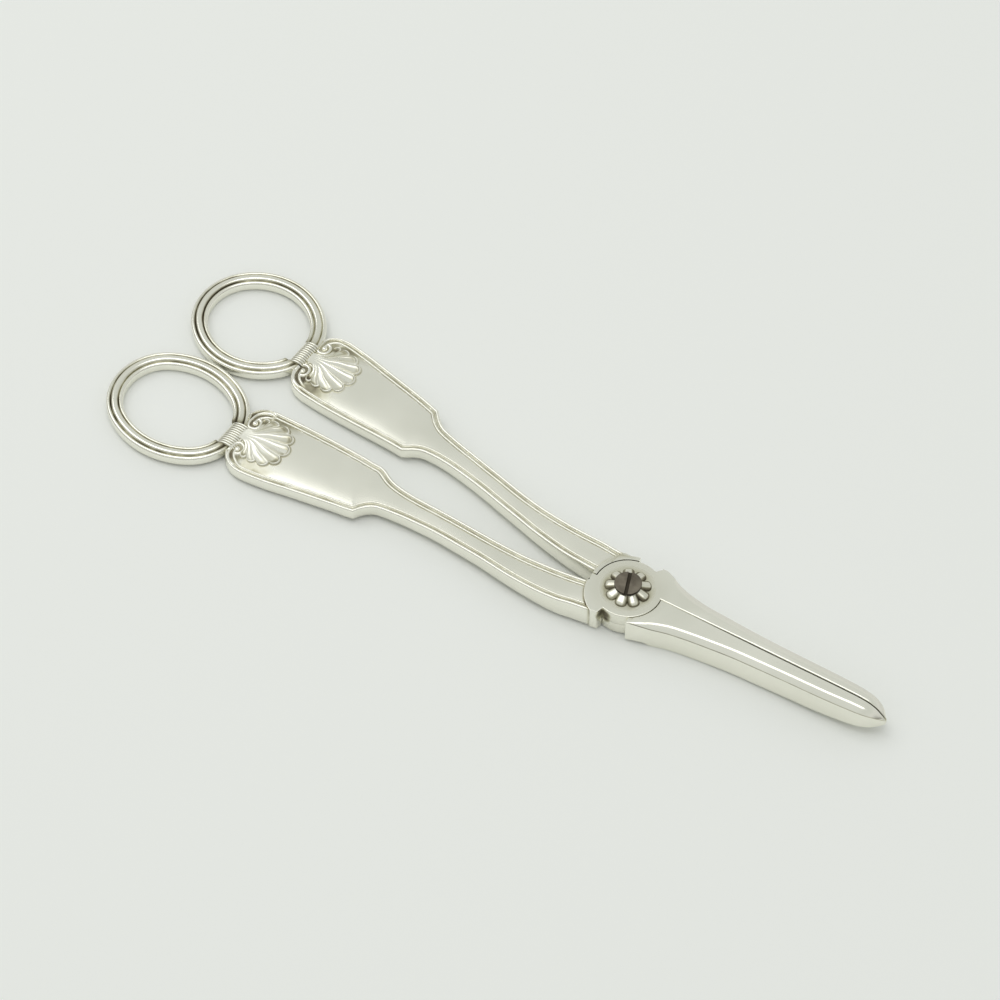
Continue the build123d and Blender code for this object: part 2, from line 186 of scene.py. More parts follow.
# Handle stations from the root to the scrolls: reach, breadth, front centre, rear centre
handle_shares = np.array([
    (0.014, 0.382, -0.413, 0.3135),
    (0.05, 0.395, -0.458, 0.303),
    (0.092, 0.411, -0.5125, 0.292),
    (0.1136, 0.418, -0.5475, 0.296),
    (0.1625, 0.408, -0.592, 0.3025),
    (0.2545, 0.364, -0.6235, 0.354),
    (0.3466, 0.328, -0.611, 0.455),
    (0.4386, 0.325, -0.606, 0.5835),
    (0.5295, 0.344, -0.6335, 0.69),
    (0.575, 0.38, -0.652, 0.73),
    (0.6065, 0.435, -0.656, 0.7495),
    (0.618, 0.479, -0.656, 0.757),
    (0.6293, 0.55, -0.663, 0.764),
    (0.6406, 0.645, -0.686, 0.771),
    (0.652, 0.748, -0.73, 0.785),
    (0.709, 0.812, -0.776, 0.8325),
    (0.8, 0.905, -0.855, 0.879),
    (0.891, 0.985, -0.9475, 0.932),
    (0.936, 1.0, -0.983, 0.958),
    (0.959, 0.9645, -0.994, 0.9675),
    (0.977, 0.876, -0.996, 0.9765),
    (0.99, 0.742, -0.993, 0.99),
    (1.0, 0.544, -0.9875, 1.0),
])
shoulder = 14

# Side view of a handle: reach and the share of the root's extra thickness
thickening_shares = np.array([
    (0.0, 1.0),
    (0.09, 0.96),
    (0.135, 0.81),
    (0.18, 0.59),
    (0.25, 0.37),
    (0.34, 0.22),
    (0.455, 0.11),
    (0.57, 0.04),
    (0.68, 0.0),
])

# Crests of a scroll, from its centre: the outer thread that curls in, and the inner one that ends in the eye
scroll_outer_path = np.array([
    (4.2, 4.05), (2.4, 3.98), (0.6, 3.45), (-1.0, 2.2), (-1.55, 0.6), (-1.5, -0.6), (-0.95, -1.3),
    (-0.05, -1.5), (0.9, -1.15), (1.35, -0.15), (1.0, 0.85), (0.15, 1.3),
])
scroll_inner_path = np.array([(4.2, 3.1), (2.4, 3.0), (1.1, 2.4), (0.25, 1.5), (-0.1, 0.7), (-0.05, 0.1)])

# Ends of the dents between the lobes of one side, from the middle outwards, and the swell of the lobes
shell_dents = np.array([(9.5, 1.59), (8.34, 4.03), (5.73, 4.98), (3.52, 5.07), (1.93, 4.61)])
shell_swell_shares = np.array([0.41, 0.45, 0.37, 0.35, 0.43])


class Half(SimpleNamespace):
    """One half of the shears: its own sizes and the places on it that the pieces share."""

    def __init__(self, **sizes):
        super().__init__(**sizes)
        self.shell_y = handle_shares[-1, self.centre_column] * handle_spread
        self.seat_x = -handle_reach + scroll_inset / 2
        self.binding_x = self.seat_x - binding_core_radius + self.binding_shift
        self.bow_x = self.binding_x - self.bow_half_length


front = Half(
    name="front", side=-1, jaw_column=1, centre_column=2, facet_drop=0.4, facet_dark_reflection=0.0,
    seat_centre=np.array((-0.14, -1.49)), seat_radius=7.8, seat_line=0.24,
    lean=-0.13, shell_turn_deg=6.5, scroll_shift=0.42,
    binding_y=-13.2, binding_shift=0.35, binding_breadth_share=1.3,
    bow_y=-13.48, bow_half_length=13.68, bow_half_breadth=11.32,
)
rear = Half(
    name="rear", side=1, jaw_column=2, centre_column=3, facet_drop=0.78, facet_dark_reflection=0.8,
    seat_centre=np.array((3.63, -0.34)), seat_radius=11.5, seat_line=0.42,
    lean=0.03, shell_turn_deg=-2.6, scroll_shift=-0.1,
    binding_y=12.02, binding_shift=0.0, binding_breadth_share=1.0,
    bow_y=13.46, bow_half_length=12.8, bow_half_breadth=11.64,
)


def smooth(low, high, value):
    """Smooth step from 0 at low to 1 at high."""
    t = np.clip((value - low) / (high - low), 0, 1)
    return t * t * (3 - 2 * t)


def bell(offset, breadth):
    """Rounded peak of 1 that fades on both sides."""
    return np.exp(-((offset / breadth) ** 2))


def quarter_round(share):
    """Fall of a quarter circle, from 0 at its crest to 1 at its foot."""
    return 1 - np.sqrt(1 - np.clip(share, 0, 1) ** 2)


def hermite(t, start, end, start_slope, end_slope):
    """Cubic between two values with a slope at each end."""
    first = (1 + 2 * t) * (1 - t) ** 2 * start + t * (1 - t) ** 2 * start_slope
    last = t * t * (3 - 2 * t) * end + t * t * (t - 1) * end_slope
    return first + last


def eased(knots, values, places):
    """Curve through the values that never overshoots them, sampled at the places."""
    steps = np.diff(knots)
    slopes = np.diff(values) / steps
    tangents = np.zeros(len(knots))
    tangents[0] = slopes[0]
    tangents[-1] = slopes[-1]
    for i in range(1, len(knots) - 1):
        if slopes[i - 1] * slopes[i] > 0:
            before = 2 * steps[i] + steps[i - 1]
            after = steps[i] + 2 * steps[i - 1]
            tangents[i] = (before + after) / (before / slopes[i - 1] + after / slopes[i])
    index = np.clip(np.searchsorted(knots, places) - 1, 0, len(steps) - 1)
    step = steps[index]
    t = (places - knots[index]) / step
    return hermite(t, values[index], values[index + 1], step * tangents[index], step * tangents[index + 1])


def dense_path(path, count):
    """Rounded polyline through a few control points."""
    places = np.linspace(0, len(path) - 1, count)
    tangents = np.gradient(path, axis=0)
    index = np.clip(places.astype(int), 0, len(path) - 2)
    t = (places - index)[:, None]
    return hermite(t, path[index], path[index + 1], tangents[index], tangents[index + 1])


def distance_to(points, path):
    """Distance of each point from a polyline, worked out for some thousand points at a time."""
    starts = path[:-1]
    runs = path[1:] - starts
    lengths = np.maximum((runs ** 2).sum(-1), 1e-12)
    result = np.empty(len(points))
    batch = 3000
    for first in range(0, len(points), batch):
        chunk = points[first : first + batch, None, :] - starts[None]
        along = np.clip((chunk * runs).sum(-1) / lengths, 0, 1)
        gap = chunk - along[..., None] * runs
        result[first : first + batch] = np.sqrt((gap ** 2).sum(-1).min(-1))
    return result


def arc(centre, radius, start_deg, end_deg, count):
    """Points of an arc in plan."""
    angle = np.radians(np.linspace(start_deg, end_deg, count))
    return np.column_stack([centre[0] + radius * np.cos(angle), centre[1] + radius * np.sin(angle)])


def circle(radius, count):
    """Points of a circle about the pivot."""
    return arc((0, 0), radius, 0, 360 - 360 / count, count)


def axes(turn_deg):
    """Directions along and across a line in plan that is turned from the x axis."""
    turn = math.radians(turn_deg)
    return np.array([math.cos(turn), math.sin(turn)]), np.array([-math.sin(turn), math.cos(turn)])


# Meshes


def grid_faces(rows, columns, closed_columns=False):
    """Quads over a grid of vertices numbered row by row."""
    faces = []
    for i in range(rows - 1):
        this = i * columns
        other = this + columns
        for j in range(columns if closed_columns else columns - 1):
            k = (j + 1) % columns
            faces.append((this + j, this + k, other + k, other + j))
    return faces


def add_mesh(name, points, faces, tarnish=None):
    """New object from points in millimetres, smooth shaded, with its tarnish and painted shade as a point
    attribute.
    """
    mesh = bpy.data.meshes.new(name)
    mesh.from_pydata((np.reshape(points, (-1, 3)) * MM).tolist(), [], faces)
    mesh.validate()
    attribute = mesh.attributes.new("tarnish", "FLOAT", "POINT")
    values = np.zeros(len(mesh.vertices)) if tarnish is None else np.ravel(tarnish)
    attribute.data.foreach_set("value", values)
    mesh.update()
    obj = bpy.data.objects.new(name, mesh)
    bpy.context.scene.collection.objects.link(obj)
    smooth_shade(obj, 40)
    return obj


def add_tube(name, rings, tarnish=None):
    """Closed object over a stack of rings, with its first and last ring filled."""
    rings = np.array(rings)
    rows, columns = rings.shape[:2]
    faces = grid_faces(rows, columns, closed_columns=True)
    faces.append(tuple(range(columns)))
    faces.append(tuple((rows - 1) * columns + j for j in reversed(range(columns))))
    return add_mesh(name, rings, faces, tarnish)


def add_skin(name, plan, top, bottom, tarnish, closed_columns=False):
    """Closed object between an upper and a lower height over a grid of points in plan."""
    rows, columns = plan.shape[:2]
    count = rows * columns
    faces = grid_faces(rows, columns, closed_columns)
    faces += [tuple(index + count for index in reversed(face)) for face in faces]
    first_row = list(range(columns))
    last_row = list(range(count - columns, count))
    borders = [first_row, last_row]
    if not closed_columns:
        right = [i * columns + columns - 1 for i in range(1, rows - 1)]
        left = [i * columns for i in range(rows - 2, 0, -1)]
        borders = [first_row + right + last_row[::-1] + left]
    for border in borders:
        for index, after in zip(border, border[1:] + border[:1]):
            faces.append((index, index + count, after + count, after))
    flat = plan.reshape(-1, 2)
    points = [np.column_stack([flat, np.ones(count) * np.ravel(height)]) for height in (top, bottom)]
    return add_mesh(name, points, faces, [tarnish, tarnish])


def level_ring(plan, z):
    """Points of a plan at one height."""
    return np.column_stack([plan, np.full(len(plan), z)])


def make_prism(name, outline, low, high):
    """Plain prism of an outline."""
    return add_tube(name, [level_ring(outline, low), level_ring(outline, high)])


def lathe(name, profile, columns, tarnish=None):
    """Closed solid turned about the pivot's axis from a profile of radius and height."""
    rings = [level_ring(circle(radius, columns), z) for radius, z in profile]
    return add_tube(name, rings, None if tarnish is None else np.repeat(tarnish, columns))


def inset_outline(outline, inset):
    """Closed outline moved inwards by a small distance, mitred at its corners."""
    before = outline - np.roll(outline, 1, axis=0)
    after = np.roll(outline, -1, axis=0) - outline
    before /= np.maximum(np.hypot(*before.T), 1e-9)[:, None]
    after /= np.maximum(np.hypot(*after.T), 1e-9)[:, None]
    normal = np.column_stack([-(before + after)[:, 1], (before + after)[:, 0]])
    length = np.maximum(np.hypot(*normal.T), 1e-9)[:, None]
    normal = normal / length * np.minimum(2 / length, 1.6)
    x, y = outline.T
    area = 0.5 * np.sum(x * np.roll(y, -1) - np.roll(x, -1) * y)
    return outline + normal * inset * math.copysign(1, area)


def make_plate(name, outline, low, high, low_round, high_round):
    """Plate of an outline with rounded lower and upper edges."""
    quarter = np.linspace(0, math.pi / 2, 5)
    levels = [(low_round * (1 - math.sin(t)), low + low_round * (1 - math.cos(t))) for t in quarter]
    levels += [(high_round * (1 - math.cos(t)), high - high_round * (1 - math.sin(t))) for t in quarter]
    return add_tube(name, [level_ring(inset_outline(outline, inset), z) for inset, z in levels])


def smooth_shade(obj, angle_deg):
    """Smooth faces with sharp edges above an angle, and normals that point outwards."""
    bpy.context.view_layer.objects.active = obj
    for other in bpy.context.selected_objects:
        other.select_set(False)
    obj.select_set(True)
    bpy.ops.object.mode_set(mode="EDIT")
    bpy.ops.mesh.select_all(action="SELECT")
    bpy.ops.mesh.normals_make_consistent(inside=False)
    bpy.ops.object.mode_set(mode="OBJECT")
    bpy.ops.object.shade_smooth_by_angle(angle=math.radians(angle_deg))


def blend_normals(obj):
    """Normals that keep broad flats flat beside their rounded edges."""
    modifier = obj.modifiers.new("normals", "WEIGHTED_NORMAL")
    modifier.mode = "FACE_AREA"
    modifier.keep_sharp = True
    modifier.weight = 80
    return obj


def combine(base, others, operation):
    """Applies a Boolean of the other objects to the base and removes them."""
    for other in others:
        modifier = base.modifiers.new("cut", "BOOLEAN")
        modifier.operation = operation
        modifier.solver = "EXACT"
        modifier.object = other
    evaluated = base.evaluated_get(bpy.context.evaluated_depsgraph_get())
    mesh = bpy.data.meshes.new_from_object(evaluated)
    base.modifiers.clear()
    base.data = mesh
    for other in others:
        bpy.data.objects.remove(other)
    smooth_shade(base, 35)
    return base


# Materials

silver_tones = ((0.925, 0.915, 0.82), (0.955, 0.945, 0.855))
# The tarnish tones also colour the painted shade that the meshes carry with their tarnish.
tarnish_and_shade_tones = ((0.095, 0.082, 0.055), (0.23, 0.205, 0.145))
film_and_shade_tone = (0.54, 0.52, 0.385)
steel_tones = ((0.10, 0.086, 0.066), (0.25, 0.222, 0.175))
slot_tone = (0.03, 0.024, 0.015)
floor_tone = (0.935, 0.948, 0.925)

# Painted shade in the hollows beside the laps: centre, radius of the dark middle and outer radius
shaded_hollows = (
    ((-0.8, -7.5, 4.2), 0.8, 1.75),
    ((-0.65, -7.5, 3.0), 0.6, 1.5),
)


def new_material(name):
    """Material with its node tree and its Principled shader."""
    material = bpy.data.materials.new(name)
    material.use_nodes = True
    tree = material.node_tree
    return material, tree, tree.nodes["Principled BSDF"]


def feed(tree, value, socket):
    """Links a socket to an input, or sets the input to a number or a colour."""
    if isinstance(value, bpy.types.NodeSocket):
        tree.links.new(value, socket)
    elif isinstance(value, tuple):
        socket.default_value = (*value, 1)
    else:
        socket.default_value = value


def noise(tree, source, scale, detail, stretch=(1, 1, 1)):
    """Noise texture in object space."""
    mapping = tree.nodes.new("ShaderNodeMapping")
    mapping.inputs["Scale"].default_value = stretch
    tree.links.new(source, mapping.inputs["Vector"])
    texture = tree.nodes.new("ShaderNodeTexNoise")
    texture.inputs["Scale"].default_value = scale
    texture.inputs["Detail"].default_value = detail
    tree.links.new(mapping.outputs["Vector"], texture.inputs["Vector"])
    return texture.outputs["Fac"]


def ranged(tree, value, low, high, to_low=0, to_high=1):
    """Value mapped from one range to another."""
    node = tree.nodes.new("ShaderNodeMapRange")
    node.inputs["From Min"].default_value = low
    node.inputs["From Max"].default_value = high
    node.inputs["To Min"].default_value = to_low
    node.inputs["To Max"].default_value = to_high
    tree.links.new(value, node.inputs["Value"])
    return node.outputs["Result"]


def maths(tree, operation, first, second):
    """Arithmetic on two values, each a socket or a number."""
    node = tree.nodes.new("ShaderNodeMath")
    node.operation = operation
    feed(tree, first, node.inputs[0])
    feed(tree, second, node.inputs[1])
    return node.outputs["Value"]


def vector_maths(tree, operation, place, other=(0, 0, 0)):
    """Outputs of a vector operation on a place and a constant."""
    node = tree.nodes.new("ShaderNodeVectorMath")
    node.operation = operation
    node.inputs[1].default_value = other
    tree.links.new(place, node.inputs[0])
    return node.outputs


def mixed(tree, factor, first, second):
    """Colour mixed between two colours or sockets."""
    node = tree.nodes.new("ShaderNodeMix")
    node.data_type = "RGBA"
    tree.links.new(factor, node.inputs["Factor"])
    feed(tree, first, node.inputs["A"])
    feed(tree, second, node.inputs["B"])
    return node.outputs["Result"]


def add_bump(tree, shader, height, strength, distance):
    """Fine relief on a shader."""
    bump = tree.nodes.new("ShaderNodeBump")
    bump.inputs["Strength"].default_value = strength
    bump.inputs["Distance"].default_value = distance * MM
    tree.links.new(height, bump.inputs["Height"])
    tree.links.new(bump.outputs["Normal"], shader.inputs["Normal"])


def silver(name, roughness, scratch_stretch=(1, 1, 1), stained_and_shaded=False):
    """Polished silver with clouded tone, fine scratches, and tarnish and painted shade where the mesh says
    so.
    """
    material, tree, shader = new_material(name)
    place = tree.nodes.new("ShaderNodeTexCoord").outputs["Object"]
    cloud = noise(tree, place, 55, 3)
    fine = noise(tree, place, 420, 4)
    hairs = noise(tree, place, 900, 2, scratch_stretch)
    patch = noise(tree, place, 130, 2)
    attribute = tree.nodes.new("ShaderNodeAttribute")
    attribute.attribute_name = "tarnish"
    tarnish = maths(tree, "MULTIPLY", attribute.outputs["Fac"], ranged(tree, fine, 0.3, 0.62, 0.6, 1.1))
    tarnish = maths(tree, "MULTIPLY", tarnish, ranged(tree, patch, 0.38, 0.62, 0.65, 1.35))
    if stained_and_shaded:
        tarnish = maths(tree, "MAXIMUM", tarnish, pivot_stain_and_shade(tree, place, fine))
    tarnish = maths(tree, "MINIMUM", tarnish, 1.0)
    clean = mixed(tree, ranged(tree, cloud, 0.35, 0.65), *silver_tones)
    brown = mixed(tree, ranged(tree, fine, 0.35, 0.65), *tarnish_and_shade_tones)
    filmed = mixed(tree, ranged(tree, tarnish, 0.0, 0.5), clean, film_and_shade_tone)
    feed(tree, mixed(tree, ranged(tree, tarnish, 0.4, 0.95), filmed, brown), shader.inputs["Base Color"])
    shader.inputs["Metallic"].default_value = 1.0
    rough = ranged(tree, cloud, 0.3, 0.7, roughness * 0.8, roughness * 1.25)
    rough = maths(tree, "ADD", rough, maths(tree, "MULTIPLY", tarnish, 0.3))
    feed(tree, rough, shader.inputs["Roughness"])
    add_bump(tree, shader, hairs, 0.06, 0.02)
    return material


def pivot_stain_and_shade(tree, place, fine):
    """Tarnish round the rosette, a fainter patina over the lap and painted shade in the hollows beside it.
    """
    flat = vector_maths(tree, "MULTIPLY", place, (1, 1, 0))["Vector"]
    radius = vector_maths(tree, "LENGTH", flat)["Value"]
    ring = ranged(tree, radius, 4.6 * MM, 5.7 * MM, 0.4, 0)
    ring = maths(tree, "MULTIPLY", ring, ranged(tree, fine, 0.35, 0.65, 0.3, 1.2))
    dark = maths(tree, "ADD", ring, ranged(tree, radius, 6.0 * MM, 9.0 * MM, 0.11, 0))
    for centre, inner, outer in shaded_hollows:
        distance = vector_maths(tree, "DISTANCE", place, Vector(centre) * MM)["Value"]
        dark = maths(tree, "MAXIMUM", dark, ranged(tree, distance, inner * MM, outer * MM, 1.0, 0))
    return dark


def dark_steel(name):
    """Darkened steel with clouded tone, fine grain and a darker slot."""
    material, tree, shader = new_material(name)
    place = tree.nodes.new("ShaderNodeTexCoord").outputs["Object"]
    grain = noise(tree, place, 1500, 3)
    tone = mixed(tree, ranged(tree, noise(tree, place, 300, 4), 0.35, 0.68), *steel_tones)
    separate = tree.nodes.new("ShaderNodeSeparateXYZ")
    tree.links.new(place, separate.inputs[0])
    height = separate.outputs["Z"]
    sunk = ranged(tree, height, (head_top - 0.2) * MM, (head_top - 0.08) * MM, 0.85, 0)
    feed(tree, mixed(tree, sunk, tone, slot_tone), shader.inputs["Base Color"])
    shader.inputs["Metallic"].default_value = 0.85
    feed(tree, ranged(tree, grain, 0.3, 0.7, 0.38, 0.6), shader.inputs["Roughness"])
    add_bump(tree, shader, grain, 0.35, 0.03)
    return material


materials = {
    "handle": silver("handle silver", 0.23, (0.25, 1, 1)),
    "bow": silver("bow silver", 0.17),
    "binding": silver("binding silver", 0.24),
    "shell": silver("shell silver", 0.27),
    "jaw": silver("jaw silver", 0.21, (0.1, 1, 1), stained_and_shaded=True),
    "rosette": silver("rosette silver", 0.27),
    "screw": dark_steel("screw steel"),
}


def dress(obj, kind, body, slot, *nodes):
    """Gives a piece its material and its body, and hides the nodes that it stands for; its slot is not used.
    """
    obj.data.materials.clear()
    obj.data.materials.append(materials[kind])
    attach(obj, body)
    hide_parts(*nodes)


# Handles


def handle_edges(half, reach):
    """Lower and upper edge points of a handle at each reach share."""
    table = handle_shares
    breadth = np.where(
        reach <= table[shoulder, 0],
        eased(table[: shoulder + 1, 0], table[: shoulder + 1, 1], reach),
        eased(table[shoulder:, 0], table[shoulder:, 1], reach),
    )
    centre = eased(table[:, 0], table[:, half.centre_column], reach) * handle_spread
    lean = half.lean * np.clip((reach - lean_start_share) / (lean_full_share - lean_start_share), 0, 1)
    edges = []
    for side in (-1, 1):
        offset = side * breadth * fiddle_breadth / 2
        x = -reach * handle_reach + lean * offset
        edges.append(np.stack([x, centre + offset], -1))
    return edges


def handle_level(reach):
    """Half thickness of a handle over the crests of its threads."""
    extra = (root_thickness - handle_thickness) / 2
    places, shares = thickening_shares.T
    return handle_thickness / 2 + eased(places, shares, np.clip(reach, 0, places[-1])) * extra


def bump_profile(offset, outer, inner, drop_outer, drop_inner):
    """Depth below the crest of a rounded thread, by the distance inwards from the crest."""
    width = np.where(offset < 0, outer, inner)
    drop = np.where(offset < 0, drop_outer, drop_inner)
    return drop * quarter_round(np.abs(offset) / width)


def thread_depth(distance, half_field):
    """Depth of a handle's face below the crest of its outer thread, and its tarnish."""
    inner_start = thread_breadth + thread_groove
    inner_end = inner_start + inner_thread_breadth
    inner_half = inner_thread_breadth / 2
    outer = bump_profile(
        distance - outer_crest, outer_crest, thread_breadth - outer_crest, wall_round, groove_depth)
    inner = inner_thread_drop + bump_profile(
        distance - (inner_start + inner_end) / 2, inner_half, inner_half,
        groove_depth - inner_thread_drop, field_relief - inner_thread_drop)
    room = np.maximum(half_field - inner_end, 1e-3)
    rise = crown_rise * np.minimum(room / crown_breadth, 1) ** 1.5
    share = np.clip((distance - inner_end) / room, 0, 1)
    field = field_relief - rise * (1 - (1 - share) ** 2.5)
    depth = np.where(distance < thread_breadth, outer, groove_depth)
    depth = np.where((distance >= inner_start) & (distance < inner_end), inner, depth)
    depth = np.where(distance >= inner_end, field, depth)
    groove = bell(distance - thread_breadth - thread_groove / 2, 0.17)
    border = bell(distance - inner_end, 0.09)
    return depth, np.maximum(0.56 * groove, 0.3 * border)


def scroll_centre(half, up):
    """Centre of the scroll on one side of a handle's end."""
    offset = up * scroll_spacing / 2
    x = -handle_reach + scroll_inset + half.scroll_shift + half.lean * offset
    return np.array([x, half.shell_y + offset])


def add_scroll(points, edge_distance, depth, tarnish, worked, half, up):
    """Works one scroll into the depth and the tarnish of a handle's face, and marks where it did."""
    local = (points - scroll_centre(half, up)) * np.array([1, up])
    local[:, 0] *= np.where(local[:, 0] < 0, scroll_squash, 1)
    near = (np.abs(local[:, 0] - 0.9) < 3.4) & (local[:, 1] > -2.6) & (local[:, 1] < 4.4)
    spot = local[near]
    x, y = spot.T
    outer = distance_to(spot, dense_path(scroll_outer_path, 140))
    inner = distance_to(spot, dense_path(scroll_inner_path, 60))
    eye = np.hypot(x + 0.02, y - 0.05)
    ridge = np.minimum(outer / scroll_ridge_radius, inner / scroll_inner_radius)
    ridge = np.minimum(ridge, (eye / scroll_eye_radius) ** 1.7)
    relief = scroll_drop + (scroll_depth - scroll_drop) * quarter_round(ridge)
    inside = smooth(2.25, 1.85, np.hypot(x, y))
    throat = smooth(3.3, 1.4, x) * smooth(-0.2, 0.5, y) * smooth(4.6, 4.0, y)
    rim = smooth(0.62, 0.3, edge_distance[near])
    weight = np.maximum(inside, throat) * (1 - rim)
    depth[near] = depth[near] * (1 - weight) + relief * weight
    dark = 0.9 * smooth(0.85, 1.2, ridge) * weight
    tarnish[near] = np.maximum(tarnish[near] * (1 - weight), dark)
    worked[near] = np.maximum(worked[near], weight)


def handle_stations():
    """Reach shares of the handle's stations, closer where the ornament is."""
    starts = (root_share, 0.6, 0.68, 0.86)
    ends = (0.6, 0.68, 0.86, 1.0)
    counts = (170, 60, 90, 150)
    parts = [np.linspace(*span, endpoint=False) for span in zip(starts, ends, counts)]
    return np.concatenate(parts + [[1.0]])


def pull_to_seat(half, points):
    """Moves the points of the root on to the seat's arc, which the handle never crosses."""
    gap = points - half.seat_centre
    inside = np.hypot(gap[:, 0], gap[:, 1]) < half.seat_radius
    reach = np.sqrt(np.maximum(half.seat_radius ** 2 - gap[:, 1] ** 2, 0))
    moved = points.copy()
    moved[:, 0] = np.where(inside, half.seat_centre[0] - reach + seat_overlap, points[:, 0])
    return moved


def clear_of_bow(half, points):
    """Moves the points of the end off the bow's outer side."""
    end_radius = bow_end_radius_share * half.bow_half_breadth
    centre = np.array([half.binding_x - end_radius, half.bow_y])
    gap = points - centre
    limit = end_radius + band_half_width + band_clearance
    height = np.minimum(np.abs(gap[:, 1]), limit - 1e-3)
    least = centre[0] + np.sqrt(limit ** 2 - height ** 2)
    moved = points.copy()
    near = gap[:, 0] > 0
    moved[:, 0] = np.where(near & (points[:, 0] < least), least, points[:, 0])
    bound = np.abs(points[:, 1] - half.binding_y) < binding_length / 2 + ring_gap / 2
    moved[:, 0] = np.where(bound, np.maximum(moved[:, 0], half.seat_x), moved[:, 0])
    return moved


def make_handle(half):
    """Handle with threads, scrolls and a crowned field on both faces, as one closed skin."""
    reach = handle_stations()
    lower, upper = handle_edges(half, reach)
    even = np.linspace(0, 1, across_count)
    share = 0.72 * even + 0.28 * (1 - np.cos(math.pi * even)) / 2
    grid = lower[:, None, :] + (upper - lower)[:, None, :] * share[None, :, None]
    outline = clear_of_bow(half, np.concatenate([lower, upper[::-1]]))
    seated = clear_of_bow(half, pull_to_seat(half, grid.reshape(-1, 2)))
    edge_distance = distance_to(seated, outline)
    breadth = np.repeat(np.hypot(*(upper - lower).T) / 2, across_count)
    depth, tarnish = thread_depth(edge_distance, breadth)
    tarnish *= 1 + 0.7 * np.repeat(smooth(0.88, 0.98, reach), across_count)
    worked = np.zeros(len(seated))
    for up in (-1, 1):
        add_scroll(seated, edge_distance, depth, tarnish, worked, half, up)
    # Painted shade round the shell and at its sides, kept off the scrolls.
    shadow = shell_shadow(half, seated) * (1 - worked)
    tarnish = np.maximum(tarnish, shadow * smooth(1.55, 1.75, edge_distance))
    from_seat = np.hypot(*(seated - half.seat_centre).T) - half.seat_radius
    tarnish = np.maximum(tarnish, 0.8 * bell(from_seat, half.seat_line))
    height = np.repeat(handle_level(reach), across_count) - depth
    plan = seated.reshape(grid.shape)
    return add_skin(f"{half.name}_handle_silver", plan, middle + height, middle - height, tarnish)


# Shells


def shell_root(half):
    """Point that the flutes of a shell fan out from."""
    return np.array([half.seat_x + shell_root_inset, half.shell_y])


def fan_bend(radius):
    """Share of a flute's final direction that it has at a distance from the root."""
    return 0.5 + 0.5 * smooth(1.0, 6.3, radius)


def fan_out(half, angle_deg, radius, share):
    """Points of a shell: a broad throat at the binding and flutes that curl outwards."""
    angle = np.radians(angle_deg * fan_bend(radius) + half.shell_turn_deg * smooth(0.5, 4.0, radius))
    root = shell_root(half)
    throat = (1 - share) ** 2
    x = root[0] + radius * np.cos(angle) - throat * shell_root_inset
    y = root[1] + radius * np.sin(angle) + throat * throat_half_breadth * angle_deg / 75
    return x, y


def shell_rim(steps):
    """Points of the scalloped rim, lobe by lobe, with the place across each lobe from -1 to 1."""
    dents = np.concatenate([shell_dents[::-1] * np.array([1, -1]), shell_dents])
    swells = np.concatenate([shell_swell_shares[:0:-1], shell_swell_shares])
    rim = []
    across = []
    for lobe, swell in enumerate(swells):
        chord = dents[lobe + 1] - dents[lobe]
        normal = np.array([chord[1], -chord[0]])
        radius = (0.25 + swell ** 2) / (2 * swell)
        half_arc = math.asin(0.5 / radius)
        places = np.linspace(-1, 1, steps, endpoint=lobe == len(swells) - 1)
        along = 0.5 + radius * np.sin(half_arc * places)
        out = swell - radius * (1 - np.cos(half_arc * places))
        rim.append(dents[lobe] + along[:, None] * chord + out[:, None] * normal)
        across.append(places)
    return np.concatenate(rim), np.concatenate(across)


def shell_shadow(half, points):
    """Painted shade in the recess between a shell's rim and the threads: a dark line round the rim and a
    darker zone at its sides.
    """
    along, across = axes(half.shell_turn_deg)
    rim = shell_rim(20)[0]
    rim = rim[:, :1] * along + rim[:, 1:] * across + shell_root(half)
    result = np.zeros(len(points))
    gap = points - shell_root(half)
    near = np.hypot(gap[:, 0], gap[:, 1]) < 15
    distance = distance_to(points[near], rim)
    angle = np.abs(np.degrees(np.arctan2(gap[near, 1], gap[near, 0])) - half.shell_turn_deg)
    side = smooth(22, 52, angle) * smooth(112, 95, angle)
    line = 0.5 * smooth(0.38, 0.05, distance)
    result[near] = np.maximum(line, 0.62 * side * smooth(3.0, 1.4, distance))
    return result


